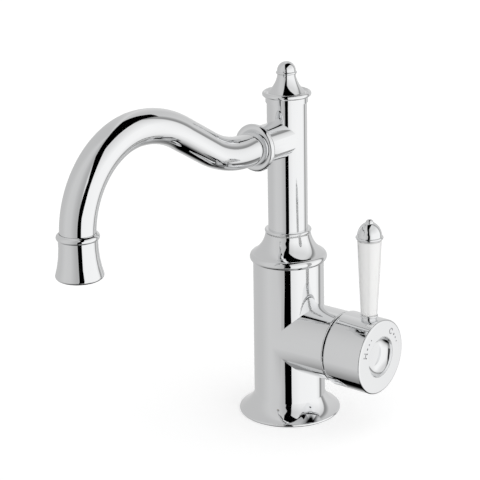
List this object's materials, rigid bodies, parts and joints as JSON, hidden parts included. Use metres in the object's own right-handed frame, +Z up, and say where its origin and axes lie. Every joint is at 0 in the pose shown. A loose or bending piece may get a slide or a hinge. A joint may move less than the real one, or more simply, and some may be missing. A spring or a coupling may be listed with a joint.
{
  "type": "gooseneck basin mixer tap",
  "caption": "Deck-mounted single-lever basin mixer with a swivelling gooseneck spout, a flared nozzle, a turned finial and a porcelain side lever.",
  "frame": {"origin": "centre of the base flange on the deck", "axes": "+Z up along the column, +X along the side boss to the handle, -Y along the spout at rest"},
  "size_m": [0.1033, 0.2318, 0.2287],
  "materials": {
    "polished_chrome": "mirror polished plate",
    "white_porcelain": "glossy white glaze",
    "disc_ceramic": "lapped",
    "bright_brass": "machined",
    "stud_steel": "zinc plated",
    "seal_rubber": "matt black",
    "white_bush": "satin",
    "grey_plastic": "moulded",
    "clear_washer": "moulded"
  },
  "bodies": {
    "base": {"base_gasket": "seal_rubber", "base_flange": "polished_chrome", "mixer_body": "polished_chrome", "shoulder_collar": "polished_chrome", "lower_bush": "white_bush", "upper_bush": "white_bush", "cartridge_base": "grey_plastic", "cartridge_seals": "seal_rubber", "cartridge_shell": "grey_plastic", "fixed_disc": "disc_ceramic", "cartridge_nut": "bright_brass", "dome_cover": "polished_chrome"},
    "spout": {"column": "polished_chrome", "spout_o_rings": "seal_rubber", "swivel_clip": "bright_brass", "spout_seal": "seal_rubber", "spout_ring": "polished_chrome", "spout_crook": "polished_chrome", "nozzle": "polished_chrome", "aerator_seal": "seal_rubber", "aerator_housing": "bright_brass", "aerator_insert": "grey_plastic", "column_cap": "polished_chrome", "column_cap_seal": "seal_rubber", "finial_flare": "polished_chrome", "finial_dome": "polished_chrome", "finial_stud": "stud_steel"},
    "rotor": {"cartridge_rotor": "grey_plastic", "spindle_pin": "stud_steel"},
    "disc": {"moving_disc": "disc_ceramic", "disc_carrier": "grey_plastic"},
    "handle": {"spindle": "bright_brass", "handle_cap": "polished_chrome", "index_disc": "polished_chrome", "grub_screw": "stud_steel", "lever_stud": "stud_steel", "lever_neck": "polished_chrome", "lower_washer": "clear_washer", "porcelain_sleeve": "white_porcelain", "upper_washer": "clear_washer", "lever_tip": "polished_chrome"}
  },
  "joints": [
    {"name": "spout_swivel", "type": "hinge", "parent": "base", "child": "spout", "pos_m": [0, 0, 0.1205], "axis": [0, 0, 1], "range_deg": [-60, 60]},
    {"name": "temperature_turn", "type": "hinge", "parent": "base", "child": "rotor", "pos_m": [0.027, 0, 0.052], "axis": [1, 0, 0], "range_deg": [-45, 45]},
    {"name": "flow_tilt", "type": "hinge", "parent": "rotor", "child": "handle", "pos_m": [0.027, 0, 0.052], "axis": [0, 1, 0], "range_deg": [0, 15]},
    {"name": "disc_slide", "type": "slide", "parent": "rotor", "child": "disc", "axis": [0, 0, 1], "range_m": [0, 0.0014]}
  ],
  "couplings": [
    {"joint": "disc_slide", "follows": "flow_tilt", "m_per_rad": 0.00497}
  ]
}
